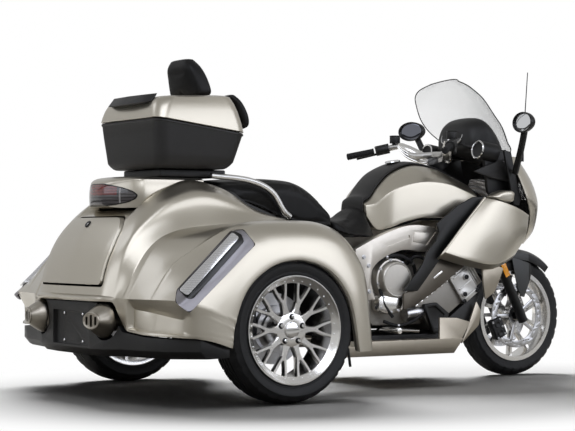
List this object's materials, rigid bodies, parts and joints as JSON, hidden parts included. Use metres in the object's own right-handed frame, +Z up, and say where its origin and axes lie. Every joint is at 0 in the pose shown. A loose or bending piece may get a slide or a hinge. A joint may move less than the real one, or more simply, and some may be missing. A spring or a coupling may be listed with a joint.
{
  "type": "motorized trike",
  "caption": "Touring trike: motorcycle front with fairing and screen, saddle and tank, wide sculpted rear body over car-type wheels, trunk door, top case with backrest.",
  "frame": {"origin": "on the ground, below the middle of the overall length, in the middle plane", "axes": "+X forward, +Y to the rider's left, +Z up"},
  "size_m": [2.805, 1.644, 1.4903],
  "materials": {
    "silver_paint": "metallic champagne silver, gloss",
    "alloy": "cast, satin",
    "wheel_alloy": "polished",
    "black_plastic": "grained",
    "grey_plastic": "satin",
    "seat_leather": "black, grained",
    "tyre": "black",
    "grip_rubber": "black",
    "steel": "brushed",
    "dark_steel": "satin black",
    "exhaust": "bronze grey",
    "lens": "clear",
    "red_lens": "red",
    "screen": "clear",
    "lamp_plate": "satin grey",
    "amber": "reflector"
  },
  "bodies": {
    "chassis": {"rear_body": "silver_paint", "trunk_tub": "black_plastic", "wheel_liners": "black_plastic", "rear_valance": "black_plastic", "exhaust_tips": "exhaust", "lamp_plates": "lamp_plate", "lamp_lenses": "lens", "tail_cowl": "silver_paint", "tail_lamp": "red_lens", "case_rack": "black_plastic", "case_base": "grey_plastic", "rider_seat": "seat_leather", "passenger_seat": "seat_leather", "grab_rails": "alloy", "seat_strips": "black_plastic", "tank_cover": "silver_paint", "tank_strip": "black_plastic", "frame_spars": "alloy", "engine_block": "alloy", "cylinder_head": "alloy", "engine_covers": "alloy", "fairing_trims": "black_plastic", "fairing_left": "silver_paint", "fairing_right": "silver_paint", "lower_fairings": "silver_paint", "running_boards": "silver_paint", "belly_pan": "black_plastic", "nose": "silver_paint", "headlamps": "lens", "windscreen": "screen", "dash": "black_plastic", "inner_panels": "grey_plastic", "side_pods": "silver_paint", "mirrors": "black_plastic", "antenna": "dark_steel", "foot_controls": "alloy", "rear_axle": "dark_steel", "rear_frame": "dark_steel", "rear_calipers": "dark_steel"},
    "steering": {"fork": "dark_steel", "front_calipers": "dark_steel", "front_fender": "grey_plastic", "reflectors": "amber", "handlebar": "alloy", "bar_risers": "alloy", "grips": "grip_rubber", "bar_controls": "black_plastic"},
    "front_wheel": {"front_rim": "wheel_alloy", "front_discs": "steel", "front_tyre": "tyre"},
    "rear_wheel_right": {"rear_rim_right": "wheel_alloy", "rear_tyre_right": "tyre"},
    "rear_wheel_left": {"rear_rim_left": "wheel_alloy", "rear_tyre_left": "tyre"},
    "trunk_door": {"trunk_door": "silver_paint"},
    "case_lid": {"case_lid": "silver_paint", "lid_trim": "black_plastic", "backrest_pad": "seat_leather", "headrest_pad": "seat_leather"}
  },
  "joints": [
    {"name": "steer", "type": "hinge", "parent": "chassis", "child": "steering", "pos_m": [0.73638, 0, 0.9], "axis": [-0.4664, 0, 0.8846], "range_deg": [-28, 28]},
    {"name": "front_wheel_spin", "type": "hinge", "parent": "steering", "child": "front_wheel", "pos_m": [1.1025, 0, 0.3], "axis": [0, 1, 0], "continuous": true},
    {"name": "rear_wheel_right_spin", "type": "hinge", "parent": "chassis", "child": "rear_wheel_right", "pos_m": [-0.6975, -0.705, 0.308], "axis": [0, 1, 0], "continuous": true},
    {"name": "rear_wheel_left_spin", "type": "hinge", "parent": "chassis", "child": "rear_wheel_left", "pos_m": [-0.6975, 0.705, 0.308], "axis": [0, 1, 0], "continuous": true},
    {"name": "trunk_door_hinge", "type": "hinge", "parent": "chassis", "child": "trunk_door", "pos_m": [-1.3375, 0, 0.498], "axis": [0, -1, 0], "range_deg": [0, 80]},
    {"name": "case_lid_hinge", "type": "hinge", "parent": "chassis", "child": "case_lid", "pos_m": [-0.6035, 0, 1.147], "axis": [0, 1, 0], "range_deg": [0, 50]}
  ]
}
